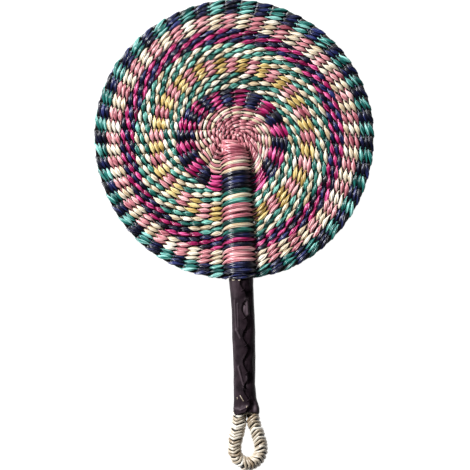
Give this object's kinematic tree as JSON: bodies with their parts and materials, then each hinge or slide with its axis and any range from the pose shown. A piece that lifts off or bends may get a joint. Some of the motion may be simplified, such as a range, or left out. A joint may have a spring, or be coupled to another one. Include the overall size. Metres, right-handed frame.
{
  "type": "woven straw hand fan",
  "caption": "Round hand fan of twined dyed straw in concentric colour bands, with a ridge over the handle core, a laced leather grip and a wrapped straw hanging loop.",
  "frame": {"origin": "centre of the woven disc, on the disc's back face", "axes": "+Z out of the disc's front face, +Y from the handle toward the top of the disc, +X to the right seen from the front"},
  "size_m": [0.3, 0.5034, 0.029],
  "materials": {
    "straw_pink": "satin dyed straw",
    "straw_cream": "satin dyed straw",
    "straw_magenta": "satin dyed straw",
    "straw_green": "satin dyed straw",
    "straw_yellow": "satin dyed straw",
    "straw_navy": "satin dyed straw",
    "straw_teal": "satin dyed straw",
    "straw_natural": "satin natural straw",
    "straw_core": "plain straw, hidden in the weave",
    "leather_plum": "dark plum-brown leather, semi-gloss"
  },
  "bodies": {
    "root": {"centre_button_pink": "straw_pink", "band_cream_pink": "straw_cream", "band_inner_magenta_navy": "straw_magenta", "band_inner_green_cream": "straw_green", "band_yellow_pink": "straw_yellow", "band_outer_green_cream": "straw_green", "band_outer_magenta_navy": "straw_navy", "band_pink_cream": "straw_pink", "rim_band_teal_navy": "straw_teal", "warp_spoke_01": "straw_core", "warp_spoke_02": "straw_core", "warp_spoke_03": "straw_core", "warp_spoke_04": "straw_core", "warp_spoke_05": "straw_core", "warp_spoke_06": "straw_core", "warp_spoke_07": "straw_core", "warp_spoke_08": "straw_core", "warp_spoke_09": "straw_core", "warp_spoke_10": "straw_core", "warp_spoke_11": "straw_core", "warp_spoke_12": "straw_core", "warp_spoke_13": "straw_core", "warp_spoke_14": "straw_core", "warp_spoke_15": "straw_core", "warp_spoke_16": "straw_core", "warp_spoke_17": "straw_core", "warp_spoke_18": "straw_core", "warp_spoke_19": "straw_core", "warp_spoke_20": "straw_core", "warp_spoke_21": "straw_core", "handle_core": "straw_core", "leather_grip": "leather_plum", "grip_lacing": "leather_plum", "loop_core": "straw_natural", "loop_wrap": "straw_natural"}
  },
  "joints": []
}
